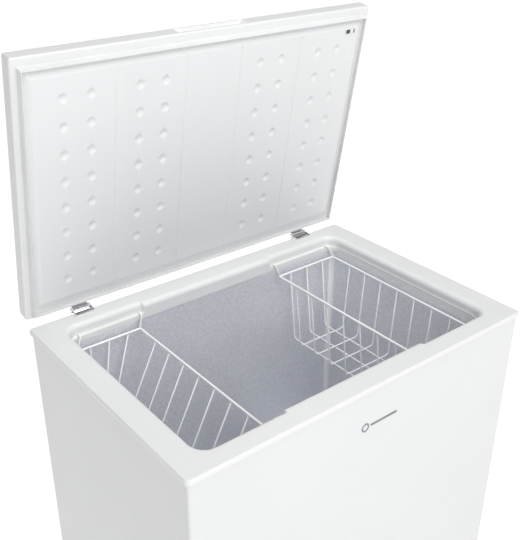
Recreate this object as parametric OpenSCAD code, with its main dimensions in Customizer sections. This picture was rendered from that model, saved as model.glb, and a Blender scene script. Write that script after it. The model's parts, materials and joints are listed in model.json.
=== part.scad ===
// Chest freezer of about 200 litres, with its lid standing open on two friction hinges.
// Millimetres. +X is the right-hand side seen from the front, +Y the back, +Z up.
// The origin is on the floor, under the middle of the whole object as it stands with its lid open.
// Everything is drawn about the middle of the cabinet and moved there by placed().

/* [Cabinet] */
// Width over the collar
collar_w = 802; // [796:1:808]
// Depth over the collar
collar_d = 542; // [538:1:546]
// Height of the collar's top face above the floor
collar_top = 802; // [796:1:812]
// How far the collar stands out past the steel walls
overhang = 4.3; // [3.5:0.1:5]

/* [Tank] */
// Width inside the tank
tank_w = 694; // [690:1:696]
// Depth inside the tank, front to back
tank_d = 440; // [438:1:442]
// Height of the tank's floor above the ground
tank_floor = 85; // [80:1:90]
// Height of the step over the compressor bay
step_top = 305; // [300:1:312]

/* [Lid] */
// Width of the lid
lid_w = 794; // [790:1:796]
// Depth of the lid, front to back
lid_d = 525; // [522:1:527]
// Thickness of the lid without its gasket
lid_t = 33; // [31:0.5:36]
// Angle the lid stands open at rest
open_angle = 80.2; // [76:0.1:82]

/* [Hidden] */
$fn = 64;

// Sheet and shell sizes
sheet = 0.8;
liner_t = 1;
seam = 0.05;
base_z = 25;
pan_t = 1.5;
wall_w = collar_w - 2 * overhang;
wall_d = collar_d - 2 * overhang;
shell_r = 5;
shell_top = collar_top - 3;

// Collar section
collar_r = 8;
lip_h = 10;
opening_w = tank_w - 2;
opening_d = tank_d - 2;
opening_r = 26;
edge_r = 11;
rim_w = 14;
rim_h = 27;
skirt_t = 3;
skirt_h = 33;
ledge_drop = 22;
ledge_in = 7;
ledge_side = 3;
ledge_from = 158;
ledge_to = -179;
liner_top = collar_top - skirt_h;

// Step and compressor bay
step_x = 160;
bay_x = 212;
bay_top = step_top - 53;
bay_right = wall_w / 2 - sheet;
bay_back = wall_d / 2 - sheet;

// Tubes wound round the tank and under the outer skin
coil_levels = 6;
coil_z = 345;
coil_pitch = 68;
evaporator_r = 4;
condenser_r = 2.5;
coil_gap = 90;

// Compressor
comp_x = 304;
comp_y = 138;
comp_r = 62;
comp_z = base_z + pan_t + 14;
pipe_z = 190;
capillary_y = -108;
suction_y = -70;
discharge_y = comp_y + 50;

// Front controls
panel_x = 315;
panel_z = 150;
panel_w = 130;
panel_h = 62;
knob_x = 286;
knob_r = 17;
lamp_x = 345;
lamp_step = 22;
front_y = -wall_d / 2;
badge_x = 10;
badge_drop = 86;

// Drain
drain_x = -250;
drain_y = -150;
drain_z = 54;
drain_r = 8;

// Grilles
grille_y = 20;
grille_z = 140;
grille_w = 320;
grille_h = 150;
rear_x = 303;
rear_z = 142;
rear_w = 160;
rear_h = 180;
gland_x = rear_x - 45;
gland_z = rear_z - 60;

// Feet
foot_x = 350;
foot_y = 225;

// Hinges
hinge_x = 286;
pin_y = 273;
pin_z = collar_top - 2;
pin_r = 2.45;
bore_r = 2.5;
barrel_r = 5;
barrel_w = 34;
bracket_w = 42;
bracket_front = 256.3;
lip_end = 263.5;
cheek_t = 2.5;
cheek_r = 6.2;
leaf_t = 2;

// How far the whole object's middle lies behind the cabinet's
overhang_back = 17;

// Lid levels, all with the lid shut
lid_back = 264.5;
lid_front = lid_back - lid_d;
lid_mid = (lid_back + lid_front) / 2;
lid_z = collar_top + 12.5;
lid_r = 7;
lip_side = 11;
lip_front = 16;
lip_back = 6;
panel_drop = 10;
panel_face_x = 365;
panel_face_front = lid_back - 487;
panel_face_back = lid_back - 37;
panel_low = lid_z - panel_drop;
dimple_x = [108, 161, 258, 311];
dimple_mid = lid_back - 262;
dimple_pitch = 53;
groove_x = [-209, -62, 62, 209];
label_x = 342;
label_y = lid_back - 481;
gasket_w = 8;
grip_w = 156;
grip_h = 19;
grip_depth = 12;
grip_z = lid_z + 6;
leaf_rows = [20, 36];

// Wire baskets
rim_drop = 47;
rim_wire = 2.5;
side_wire = 1.5;
basket_y = 209;
floor_y = 188;
floor_drop = 212;
hook_wire = 2;
hook_bend = 3;
hook_tip_y = opening_d / 2 + ledge_in - 2;
hook_tuck = 12;
rim_corner = 4;
wire_bend = 9;
long_pitch = 50;
hook_lean = 8;

// --- shapes used more than once ---

module rounded_rect(w, d, r) {
    square([w - 2 * r, d], center = true);
    square([w, d - 2 * r], center = true);
    for (x = [-1, 1], y = [-1, 1])
        translate([x * (w / 2 - r), y * (d / 2 - r)]) circle(r);
}

module plate(w, d, h, r) {
    linear_extrude(h) rounded_rect(w, d, r);
}

module ring(w, d, r, t, h) {
    linear_extrude(h) difference() {
        rounded_rect(w, d, r);
        rounded_rect(w - 2 * t, d - 2 * t, max(r - t, 1));
    }
}

module box(x0, x1, y0, y1, z0, z1) {
    translate([x0, y0, z0]) cube([x1 - x0, y1 - y0, z1 - z0]);
}

module rod_y(x, z, y0, y1, r) {
    translate([x, y0, z]) rotate([-90, 0, 0]) cylinder(h = y1 - y0, r = r);
}

module rod_x(y, z, x0, x1, r) {
    translate([x0, y, z]) rotate([0, 90, 0]) cylinder(h = x1 - x0, r = r);
}

// A straight round bar between two points
module bar(p, q, r) {
    v = q - p;
    flat = norm([v[0], v[1]]);
    translate(p) rotate([0, atan2(flat, v[2]), atan2(v[1], v[0])]) cylinder(h = norm(v), r = r, $fn = 24);
}

// A tube through a list of points, with a soldered bead at each corner
module tube_run(points, r, bead) {
    for (i = [0 : len(points) - 2]) bar(points[i], points[i + 1], r);
    for (i = [1 : len(points) - 2]) translate(points[i]) sphere(bead, $fn = 24);
}

function heading(p, q) = atan2(q[1] - p[1], q[0] - p[0]);
function turned(a) = a > 180 ? a - 360 : a < -180 ? a + 360 : a;
function turn_at(pts, i) = turned(heading(pts[i], pts[i + 1]) - heading(pts[i - 1], pts[i]));
function trim_at(pts, i, bend) = i == 0 || i == len(pts) - 1 ? 0 : bend * tan(abs(turn_at(pts, i)) / 2);
function ahead(h, by) = by * [cos(h), sin(h)];

// A wire bent in the XY plane: straight bars and round bends, laid end to end
module bent_wire(pts, bend, r) {
    for (i = [0 : len(pts) - 2]) {
        h = heading(pts[i], pts[i + 1]);
        start = pts[i] + ahead(h, trim_at(pts, i, bend));
        end = pts[i + 1] - ahead(h, trim_at(pts, i + 1, bend));
        translate([start[0], start[1], 0]) rotate([0, 90, h])
            translate([0, 0, seam / 2]) cylinder(h = norm(end - start) - seam, r = r, $fn = 24);
    }
    for (i = [1 : len(pts) - 2]) {
        h = heading(pts[i - 1], pts[i]);
        turn = turn_at(pts, i);
        side = sign(turn);
        centre = pts[i] - ahead(h, trim_at(pts, i, bend)) + ahead(h + 90 * side, bend);
        translate([centre[0], centre[1], 0]) rotate([0, 0, min(h - 90 * side, h - 90 * side + turn)])
            rotate_extrude(angle = abs(turn)) translate([bend, 0]) circle(r, $fn = 24);
    }
}

// Stands an XY drawing up so that its X runs along Y, and leans it in X between two heights
module leaning(x_low, z_low, x_high, z_high) {
    translate([x_low, 0, z_low]) rotate([0, atan2(x_high - x_low, z_high - z_low), 0])
        rotate([90, 0, 90]) children();
}

// Moves a finished piece forward, because the open lid overhangs the back
module placed() {
    translate([0, -overhang_back, 0]) children();
}

module on_both_hinges() {
    for (s = [-1, 1]) translate([s * hinge_x, 0, 0]) children();
}

// Takes a piece drawn with the lid shut to the open lid
module opened() {
    translate([0, pin_y, pin_z]) rotate([-open_angle, 0, 0]) translate([0, -pin_y, -pin_z]) children();
}

// --- cabinet ---

module outer_shell() {
    color("white") difference() {
        translate([0, 0, base_z]) ring(wall_w, wall_d, shell_r, sheet, shell_top - base_z);
        box(-wall_w / 2 + shell_r, wall_w / 2 - shell_r, wall_d / 2 - 3, wall_d / 2 + 1,
            base_z - 1, shell_top + 1);
        box(panel_x - panel_w / 2, panel_x + panel_w / 2, front_y - 1, front_y + 2,
            panel_z - panel_h / 2, panel_z + panel_h / 2);
        box(wall_w / 2 - 2, wall_w / 2 + 1, grille_y - grille_w / 2, grille_y + grille_w / 2,
            grille_z - grille_h / 2, grille_z + grille_h / 2);
        rod_y(drain_x, drain_z, front_y - 1, front_y + 3, drain_r + 2.3);
    }
}

module back_panel() {
    color("white") difference() {
        box(-wall_w / 2 + shell_r + seam, wall_w / 2 - shell_r - seam, bay_back, wall_d / 2,
            base_z, shell_top);
        box(rear_x - rear_w / 2, rear_x + rear_w / 2, bay_back - 1, wall_d / 2 + 1,
            rear_z - rear_h / 2, rear_z + rear_h / 2);
        at_rear_screws() rod_y(0, 0, bay_back - 1, wall_d / 2 + 1, 2.3);
        bracket_screw_holes(2.2);
    }
}

module base_pan() {
    color("silver") difference() {
        box(-bay_right + seam, bay_x - sheet, -bay_back + seam, bay_back - seam, base_z, base_z + pan_t);
        foot_holes(4.3);
    }
}

// A hole through the collar's top with a rounded edge all the way round
module rounded_hole(w, d, r, deep) {
    straight_x = w - 2 * r;
    straight_y = d - 2 * r;
    translate([0, 0, collar_top - deep]) plate(w, d, deep + 1, r);
    for (a = [0, 180]) {
        rotate([0, 0, a]) translate([w / 2, straight_y / 2, collar_top])
            rotate([90, 0, 0]) linear_extrude(straight_y) edge_waste();
        rotate([0, 0, a]) translate([straight_x / 2, -d / 2, collar_top])
            rotate([90, 0, -90]) linear_extrude(straight_x) edge_waste();
    }
    for (a = [0, 1], b = [0, 1]) mirror([a, 0, 0]) mirror([0, b, 0])
        translate([straight_x / 2, straight_y / 2, collar_top])
            rotate_extrude(angle = 90) translate([r, 0]) edge_waste();
}

// What is cut off a square edge to round it
module edge_waste() {
    translate([0, -edge_r]) difference() {
        square([edge_r, edge_r + 1]);
        translate([edge_r, 0]) circle(edge_r);
    }
}

// Ledges round both ends of the opening, where the basket hooks hang
module hook_ledges() {
    intersection() {
        rounded_hole(opening_w + 2 * ledge_side, opening_d + 2 * ledge_in, opening_r + ledge_side,
            ledge_drop);
        union() {
            box(ledge_from, collar_w, -collar_d, collar_d, collar_top - ledge_drop - 1, collar_top + 2);
            box(-collar_w, ledge_to, -collar_d, collar_d, collar_top - ledge_drop - 1, collar_top + 2);
        }
    }
}

module collar() {
    color("white") difference() {
        union() {
            translate([0, 0, shell_top]) plate(collar_w, collar_d, 3, collar_r);
            translate([0, 0, collar_top - lip_h]) ring(collar_w, collar_d, collar_r, overhang, lip_h - 3);
            translate([0, 0, collar_top - rim_h])
                ring(opening_w + 2 * rim_w, opening_d + 2 * rim_w, opening_r + rim_w, rim_w + 1, rim_h - 3);
            translate([0, 0, liner_top])
                ring(opening_w + 2 * skirt_t, opening_d + 2 * skirt_t, opening_r + skirt_t, skirt_t + 1, 14);
        }
        rounded_hole(opening_w, opening_d, opening_r, skirt_h + 1);
        hook_ledges();
        on_both_hinges() box(-bracket_w / 2 - 4, bracket_w / 2 + 4, wall_d / 2, collar_d / 2 + 1,
            collar_top - lip_h - 1, collar_top + 1);
    }
}

module inner_liner() {
    w = tank_w / 2;
    d = tank_d / 2;
    out_w = w + liner_t;
    out_d = d + liner_t;
    split = step_x + liner_t;
    color("lightsteelblue") {
        box(-out_w, -w, -d + seam, d - seam, tank_floor - liner_t, liner_top);
        box(w, out_w, -d + seam, d - seam, step_top - liner_t, liner_top);
        for (s = [0, 1]) mirror([0, s, 0]) {
            box(-out_w, split, d, out_d, tank_floor - liner_t, liner_top);
            box(split + seam, out_w, d, out_d, step_top - liner_t, liner_top);
        }
        difference() {
            box(-w + seam, step_x - seam, -d + seam, d - seam, tank_floor - liner_t, tank_floor);
            translate([drain_x, drain_y, tank_floor - 3]) cylinder(h = 6, r = drain_r);
        }
        box(step_x, split, -d + seam, d - seam, tank_floor - liner_t, step_top - liner_t - seam);
        box(step_x, w - seam, -d + seam, d - seam, step_top - liner_t, step_top);
    }
}

module liner_corner_strips() {
    strip = 9;
    color("silver") for (a = [0, 1], b = [0, 1]) mirror([0, b, 0]) {
        low = a == 0 ? step_top + seam : tank_floor + seam;
        mirror([a, 0, 0]) translate([tank_w / 2 - seam, tank_d / 2 - seam, low]) rotate([0, 0, 180])
            linear_extrude(liner_top - low - seam) difference() {
                square(strip);
                translate([strip, strip]) circle(strip - 1);
            }
    }
}

// Foam fills the walls; grooves and pockets leave room for what is buried in it
module cabinet_foam() {
    w = tank_w / 2 + liner_t;
    d = tank_d / 2 + liner_t;
    bottom = base_z + pan_t;
    color("khaki") difference() {
        translate([0, 0, bottom])
            plate(wall_w - 2 * sheet, wall_d - 2 * sheet, shell_top - bottom, shell_r - sheet);
        box(-w, step_x + liner_t, -d, d, tank_floor - liner_t, liner_top);
        box(-w, w, -d, d, step_top - liner_t, liner_top);
        translate([0, 0, liner_top])
            plate(opening_w + 2 * skirt_t, opening_d + 2 * skirt_t, skirt_h, opening_r + skirt_t);
        translate([0, 0, collar_top - rim_h])
            plate(opening_w + 2 * rim_w, opening_d + 2 * rim_w, rim_h, opening_r + rim_w);
        box(bay_x - sheet, wall_w, -wall_d, wall_d, 0, bay_top + sheet);
        box(-wall_w, wall_w, bay_back - 1, wall_d, bottom - 1, bottom);
        coil_grooves();
        drain_path(drain_r + 2.3);
        foot_pockets();
        bracket_screw_holes(2.2);
    }
}

module coil_grooves() {
    top = coil_z + (coil_levels - 1) * coil_pitch;
    evap = evaporator_r + 0.5;
    cond = condenser_r + 0.5;
    for (i = [0 : coil_levels - 1]) translate([0, 0, coil_z + i * coil_pitch]) {
        translate([0, 0, -evap]) ring(tank_w + 22, tank_d + 22, 10, 10, 2 * evap);
        translate([0, 0, -cond]) ring(wall_w - sheet, wall_d - sheet, shell_r, 9, 2 * cond);
    }
    box(-coil_gap / 2 - 10, coil_gap / 2 + 10, tank_d / 2, tank_d / 2 + 11, coil_z - evap, top + evap);
    box(-coil_gap / 2 - 10, coil_gap / 2 + 10, wall_d / 2 - 9, wall_d / 2, coil_z - cond, top + cond);
}

// One tube laid in loops round the cabinet, turning back beside a gap at the rear of each loop
module wrapped_coil(half_w, half_d, bend, r) {
    for (i = [0 : coil_levels - 1]) translate([0, 0, coil_z + i * coil_pitch]) {
        rod_x(-half_d, 0, bend + seam - half_w, half_w - bend - seam, r);
        for (s = [0, 1]) mirror([s, 0, 0]) {
            rod_y(half_w, 0, bend + seam - half_d, half_d - bend - seam, r);
            rod_x(half_d, 0, coil_gap / 2 + seam, half_w - bend - seam, r);
            for (t = [0, 1]) mirror([0, t, 0])
                translate([half_w - bend, half_d - bend, 0])
                    rotate_extrude(angle = 90) translate([bend, 0]) circle(r, $fn = 24);
        }
    }
    for (i = [0 : coil_levels - 2]) {
        side = i % 2 == 0 ? 1 : -1;
        mirror([side < 0 ? 1 : 0, 0, 0])
            translate([coil_gap / 2, half_d, coil_z + (i + 0.5) * coil_pitch])
                rotate([90, 0, 0]) rotate([0, 0, 90])
                    rotate_extrude(angle = 180) translate([coil_pitch / 2, 0]) circle(r, $fn = 24);
    }
}

module evaporator_coil() {
    gap = liner_t + evaporator_r + 0.3;
    color("peru") wrapped_coil(tank_w / 2 + gap, tank_d / 2 + gap, evaporator_r + 1, evaporator_r);
}

module condenser_coil() {
    gap = sheet + condenser_r + 0.3;
    color("peru") wrapped_coil(wall_w / 2 - gap, wall_d / 2 - gap, 10, condenser_r);
}

module bay_lining() {
    color("silver") difference() {
        union() {
            box(bay_x - sheet, bay_x, seam - bay_back, bay_back - seam, base_z + pan_t, bay_top);
            box(bay_x - sheet, bay_right - seam, seam - bay_back, bay_back - seam, bay_top, bay_top + sheet);
        }
        for (y = [capillary_y, suction_y, discharge_y]) rod_x(y, pipe_z, bay_x - 2, bay_x + 1, 4.5);
    }
}

module compressor_tray() {
    color("silver") difference() {
        box(bay_x - sheet + seam, bay_right - seam, seam - bay_back, bay_back - seam, base_z, base_z + pan_t);
        foot_holes(4.3);
        at_compressor_feet() translate([0, 0, base_z - 1]) cylinder(h = 5, r = 4.3);
    }
}

// --- compressor bay ---

module at_compressor_feet() {
    for (x = [-1, 1], y = [-1, 1]) translate([comp_x + x * 62, comp_y + y * 52, 0]) children();
}

// Welded steel dome in two halves, on a foot plate, with three tube stubs and a terminal boss
module compressor() {
    seat = comp_z + 3;
    dome = 28;
    color("dimgray") {
        difference() {
            union() {
                translate([comp_x, comp_y, comp_z]) plate(148, 126, 3, 14);
                translate([comp_x, comp_y, seat]) cylinder(h = 98, r = comp_r);
                translate([comp_x, comp_y, seat + 52]) cylinder(h = 5, r = comp_r + 3);
                translate([comp_x, comp_y, seat + 98]) rotate_extrude() dome_half(comp_r, dome);
            }
            at_compressor_feet() translate([0, 0, comp_z - 1]) cylinder(h = 6, r = 8.3);
        }
        translate([comp_x, comp_y - comp_r + 4, seat + 40]) rotate([90, 0, 0]) cylinder(h = 10, r = 16);
        bar([comp_x - comp_r + 4, comp_y, seat + 30], [comp_x - comp_r - 12, comp_y, seat + 30], 4);
        bar([comp_x - comp_r + 6, comp_y - 24, seat + 74], [comp_x - comp_r - 12, comp_y - 24, seat + 74], 5);
    }
}

module dome_half(r, h) {
    corner = r - h;
    square([corner, h]);
    intersection() {
        translate([corner, 0]) circle(h);
        square([r, h]);
    }
}

module compressor_grommets() {
    color("dimgray") at_compressor_feet() difference() {
        union() {
            translate([0, 0, base_z + pan_t]) cylinder(h = comp_z - base_z - pan_t, r = 12);
            translate([0, 0, comp_z]) cylinder(h = 6, r = 8);
        }
        translate([0, 0, base_z]) cylinder(h = 40, r = 4.4);
    }
}

module compressor_bolts() {
    color("gray") at_compressor_feet() {
        translate([0, 0, base_z - 4]) cylinder(h = comp_z - base_z + 14, r = 4);
        translate([0, 0, comp_z + 6]) cylinder(h = 2, r = 11);
        translate([0, 0, comp_z + 8]) cylinder(h = 5, r = 7, $fn = 6);
        translate([0, 0, base_z - 5]) cylinder(h = 5, r = 8, $fn = 6);
    }
}

module start_relay() {
    face = comp_y - comp_r - 6;
    mid = comp_z + 43;
    color("black") difference() {
        union() {
            box(comp_x - 24, comp_x + 24, face - 34, face - 0.3, mid - 26, mid + 26);
            box(comp_x - 15, comp_x + 15, face - 40, face - 34, mid - 18, mid + 14);
        }
        for (i = [-2 : 2]) translate([comp_x + i * 6, 0, mid]) box(-1, 1, face - 41, face - 38, -12, 8);
    }
}

module filter_drier() {
    color("peru") translate([bay_x + 26, -20, 130]) {
        cylinder(h = 80, r = 11);
        translate([0, 0, 80]) cylinder(h = 14, r1 = 11, r2 = 4);
        translate([0, 0, 94]) cylinder(h = 6, r = 4);
        translate([0, 0, -12]) cylinder(h = 12, r1 = 3.2, r2 = 11);
        translate([0, 0, -18]) cylinder(h = 6, r = 3.2);
    }
}

module capillary_tube() {
    x = bay_x + 26;
    color("peru") tube_run([[x, -20, 112], [x, -20, 92], [x, -48, 78], [x, -80, 98], [x - 8, -100, 132],
        [x - 3, capillary_y, pipe_z], [bay_x - sheet, capillary_y, pipe_z]], 1.2, 2);
}

module suction_line() {
    x = bay_x + 8;
    y = comp_y - 24;
    z = comp_z + 77;
    color("peru") tube_run([[comp_x - comp_r - 12.3, y, z], [x, y, z], [x, y - 20, z + 30],
        [x, suction_y, pipe_z], [bay_x - sheet, suction_y, pipe_z]], 4, 4.4);
}

module discharge_line() {
    x = bay_x + 12;
    z = comp_z + 33;
    color("peru") {
        tube_run([[comp_x - comp_r - 12.3, comp_y, z], [x, comp_y, z], [x, comp_y + 30, z + 30],
            [x, discharge_y, pipe_z], [bay_x - sheet, discharge_y, pipe_z]], 3, 3.3);
        translate([bay_x + 26, -20, 230]) cylinder(h = bay_top - 230, r = 3);
    }
}

// Moulded panel with a frame and level slats
module side_grille() {
    face = wall_w / 2;
    slats = 9;
    pitch = (grille_h - 20) / slats;
    color("whitesmoke") difference() {
        union() {
            box(face, face + 2.5, grille_y - grille_w / 2 - 6, grille_y + grille_w / 2 + 6,
                grille_z - grille_h / 2 - 6, grille_z + grille_h / 2 + 6);
            box(face - 8, face, grille_y - grille_w / 2 + 0.5, grille_y + grille_w / 2 - 0.5,
                grille_z - grille_h / 2 + 0.5, grille_z + grille_h / 2 - 0.5);
        }
        for (i = [0 : slats - 1], s = [-1, 1])
            translate([0, 0, grille_z - grille_h / 2 + 10 + (i + 0.5) * pitch])
                box(face - 9, face + 3, grille_y + s * 75 - 66, grille_y + s * 75 + 66, -3.5, 3.5);
    }
}

module at_rear_screws() {
    for (x = [-1, 1], z = [-1, 1])
        translate([rear_x + x * (rear_w / 2 + 4), 0, rear_z + z * (rear_h / 2 - 6)]) children();
}

// Pressed steel cover with upright slots, and a hole for the supply cord's gland
module rear_cover() {
    face = wall_d / 2;
    color("silver") difference() {
        box(rear_x - rear_w / 2 - 9, rear_x + rear_w / 2 + 9, face, face + 1.2,
            rear_z - rear_h / 2 - 4, rear_z + rear_h / 2 + 4);
        for (i = [-6 : 6]) translate([rear_x + i * 10, 0, rear_z]) box(-2, 2, face - 1, face + 2, -10, 70);
        rod_y(gland_x, gland_z, face - 1, face + 2, 9);
        at_rear_screws() rod_y(0, 0, face - 1, face + 2, 2.3);
    }
}

module rear_cover_screws() {
    face = wall_d / 2 + 1.2;
    color("gray") at_rear_screws() {
        rod_y(0, 0, face, face + 2, 4);
        rod_y(0, 0, face - 9, face, 2.1);
    }
}

// Plastic bush for the supply cord
module cord_gland() {
    face = wall_d / 2;
    color("black") difference() {
        union() {
            rod_y(gland_x, gland_z, face - 10, face + 2, 8.9);
            rod_y(gland_x, gland_z, face + 1.25, face + 8, 11.5);
        }
        rod_y(gland_x, gland_z, face - 11, face + 9, 3.6);
    }
}

// --- front controls and drain ---

module control_bezel() {
    back = front_y + 8;
    color("whitesmoke") difference() {
        union() {
            translate([panel_x, front_y, panel_z]) rotate([90, 0, 0])
                plate(panel_w + 10, panel_h + 10, 2.5, 8);
            translate([panel_x, back, panel_z]) rotate([90, 0, 0]) plate(panel_w - 1, panel_h - 1, 8, 4);
        }
        rod_y(knob_x, panel_z, front_y - 5, back + 1, 5.5);
        rod_y(knob_x, panel_z, front_y - 5, front_y + 5, knob_r + 3);
        for (i = [0, 1]) rod_y(lamp_x + i * lamp_step, panel_z, front_y - 5, back + 1, 4.1);
    }
}

module thermostat_body() {
    back = front_y + 8.2;
    color("gray") difference() {
        union() {
            box(knob_x - 22, knob_x + 22, back, back + 30, panel_z - 20, panel_z + 20);
            rod_y(knob_x, panel_z, front_y - 2, back, 3);
        }
        box(knob_x + 14, knob_x + 30, back + 10, back + 31, panel_z - 30, panel_z - 12);
    }
}

// Turning knob with a finger bar and a pointer groove
module thermostat_knob() {
    color("white") difference() {
        union() {
            rod_y(knob_x, panel_z, front_y - 8, front_y + 4, knob_r);
            box(knob_x - 3.5, knob_x + 3.5, front_y - 16, front_y - 8,
                panel_z - knob_r + 3, panel_z + knob_r - 3);
        }
        rod_y(knob_x, panel_z, front_y - 2.5, front_y + 5, 3.05);
        box(knob_x - 0.8, knob_x + 0.8, front_y - 17, front_y - 15, panel_z + 4, panel_z + knob_r);
    }
}

module power_lamp() {
    color("limegreen") rod_y(lamp_x, panel_z, front_y - 4, front_y + 9, 4);
}

module alarm_lamp() {
    color("red") rod_y(lamp_x + lamp_step, panel_z, front_y - 4, front_y + 9, 4);
}

module drain_path(r) {
    translate([drain_x, drain_y, drain_z]) {
        cylinder(h = tank_floor - liner_t - drain_z, r = r);
        sphere(r);
    }
    rod_y(drain_x, drain_z, front_y - 6, drain_y, r);
}

module drain_tube() {
    color("lightgray") difference() {
        drain_path(drain_r + 2);
        translate([drain_x, drain_y, drain_z]) {
            cylinder(h = 60, r = drain_r);
            sphere(drain_r);
        }
        rod_y(drain_x, drain_z, front_y - 7, drain_y, drain_r);
    }
}

module drain_plug() {
    color("gray") translate([drain_x, drain_y, tank_floor]) {
        translate([0, 0, 0.05]) cylinder(h = 4, r = 14);
        translate([0, 0, -12]) cylinder(h = 12.05, r = drain_r - 0.08);
        translate([0, 0, 4.05]) cylinder(h = 10, r = 3);
        translate([0, 0, 14]) cylinder(h = 3, r = 6);
    }
}

module drain_cap() {
    mouth = front_y - 6.05;
    color("whitesmoke") {
        rod_y(drain_x, drain_z, mouth - 5, mouth, 13);
        rod_y(drain_x, drain_z, mouth, mouth + 12, drain_r - 0.08);
        box(drain_x - 2, drain_x + 2, mouth - 12, mouth - 5, drain_z - 9, drain_z + 9);
    }
}

// --- feet ---

module at_feet() {
    for (x = [-1, 1], y = [-1, 1]) translate([x * foot_x, y * foot_y, 0]) children();
}

module foot_holes(r) {
    at_feet() translate([0, 0, base_z - 1]) cylinder(h = pan_t + 2, r = r);
}

module foot_pockets() {
    at_feet() translate([0, 0, base_z]) cylinder(h = 16, r = 9);
}

module feet() {
    color("dimgray") at_feet() difference() {
        union() {
            cylinder(h = 8, r = 21);
            translate([0, 0, 8]) cylinder(h = base_z - 8, r1 = 21, r2 = 14);
        }
        translate([0, 0, -1]) cylinder(h = 11, r = 8);
        cylinder(h = base_z + 1, r = 4.3);
    }
}

module foot_screws() {
    color("gray") at_feet() {
        translate([0, 0, 5]) cylinder(h = 5, r = 7, $fn = 6);
        translate([0, 0, 10]) cylinder(h = base_z + 4, r = 4);
        translate([0, 0, base_z + pan_t]) cylinder(h = 6, r = 7.5, $fn = 6);
    }
}

// --- hinges ---

// Side view of one cheek, Y across and Z up
module cheek_outline() {
    back = pin_y + 11.5;
    translate([pin_y, pin_z]) circle(cheek_r);
    polygon([[bracket_front, collar_top], [bracket_front, collar_top + 2.6],
        [lip_end + 2.5, pin_z + cheek_r], [pin_y, pin_z + cheek_r], [back - 3.5, collar_top + 7.5],
        [back, collar_top + 4.5], [back, collar_top - 14],
        [wall_d / 2, collar_top - 28], [wall_d / 2, collar_top]]);
}

module across_x(w) {
    translate([-w / 2, 0, 0]) rotate([90, 0, 90]) linear_extrude(w) children();
}

module at_bracket_screws() {
    on_both_hinges() for (x = [-12, 12], z = [-34, -66]) translate([x, 0, collar_top + z]) children();
}

module bracket_screw_holes(r) {
    at_bracket_screws() rod_y(0, 0, wall_d / 2 - 14, wall_d / 2 + 3, r);
}

// Pressed bracket: a leaf on the cabinet's back, two cheeks for the pin, and a lip over the collar
module hinge_brackets() {
    inner = bracket_w / 2 - cheek_t;
    color("silver") difference() {
        on_both_hinges() {
            box(-bracket_w / 2, bracket_w / 2, wall_d / 2, wall_d / 2 + leaf_t,
                collar_top - 84, collar_top - 12);
            box(-inner, inner, bracket_front, lip_end, collar_top, collar_top + leaf_t);
            for (s = [-1, 1]) translate([s * (bracket_w - cheek_t) / 2, 0, 0])
                across_x(cheek_t) cheek_outline();
        }
        on_both_hinges() rod_x(pin_y, pin_z, -40, 40, bore_r);
        bracket_screw_holes(2.2);
    }
}

module hinge_bracket_screws() {
    head = wall_d / 2 + leaf_t;
    color("gray") at_bracket_screws() {
        rod_y(0, 0, head, head + 2.2, 4);
        rod_y(0, 0, head - 15, head, 2);
    }
}

module hinge_pins() {
    color("silver") on_both_hinges() {
        rod_x(pin_y, pin_z, -bracket_w / 2 - 1, bracket_w / 2 + 1, pin_r);
        for (s = [-1, 1]) translate([s * (bracket_w / 2 + 1), 0, 0]) rod_x(pin_y, pin_z, -0.95, 0.95, 4);
    }
}

// Friction discs between the barrels and the cheeks
module hinge_washers() {
    at = (barrel_w / 2 + bracket_w / 2 - cheek_t) / 2;
    color("dimgray") on_both_hinges() for (s = [-1, 1]) translate([s * at, 0, 0]) difference() {
        rod_x(pin_y, pin_z, -0.6, 0.6, barrel_r - 0.3);
        rod_x(pin_y, pin_z, -1, 1, bore_r);
    }
}

module at_leaf_screws() {
    on_both_hinges() for (x = [-9, 9], z = leaf_rows) translate([x, 0, collar_top + z]) children();
}

module leaf_screw_holes(r) {
    at_leaf_screws() rod_y(0, 0, lid_back - 14, lid_back + 3, r);
}

// Leaf up the lid's rear edge, rolled into a barrel round the pin
module hinge_leaves() {
    color("silver") opened() difference() {
        on_both_hinges() across_x(barrel_w) {
            translate([pin_y, pin_z]) circle(barrel_r);
            polygon([[lid_back, collar_top + 44], [lid_back + leaf_t, collar_top + 44],
                [lid_back + leaf_t, collar_top + 6], [pin_y, pin_z + barrel_r], [pin_y, pin_z],
                [pin_y - 4, pin_z + 3], [lid_back, collar_top + 2.8]]);
        }
        on_both_hinges() rod_x(pin_y, pin_z, -40, 40, bore_r);
        leaf_screw_holes(2.1);
    }
}

module hinge_leaf_screws() {
    head = lid_back + leaf_t;
    color("gray") opened() at_leaf_screws() {
        rod_y(0, 0, head, head + 2, 3.6);
        rod_y(0, 0, head - 14, head, 1.9);
    }
}

// --- lid, drawn shut and then opened ---

module lid_block(inset, z0, z1) {
    translate([0, lid_mid, z0]) plate(lid_w - 2 * inset, lid_d - 2 * inset, z1 - z0, lid_r - inset);
}

module lid_mouth(z0, z1) {
    x = lid_w / 2 - lip_side;
    box(-x, x, lid_front + lip_front, lid_back - lip_back, z0, z1);
}

module grip_pocket() {
    gap = 0.1;
    box(-grip_w / 2 - gap, grip_w / 2 + gap, lid_front - 1, lid_front + grip_depth + gap,
        grip_z - gap, grip_z + grip_h + gap);
}

module lid_shell() {
    color("white") opened() difference() {
        lid_block(0, lid_z, lid_z + lid_t);
        lid_block(sheet, lid_z + sheet, lid_z + lid_t - sheet);
        lid_mouth(lid_z - 1, lid_z + 5);
        grip_pocket();
        leaf_screw_holes(2.1);
    }
}

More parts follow.
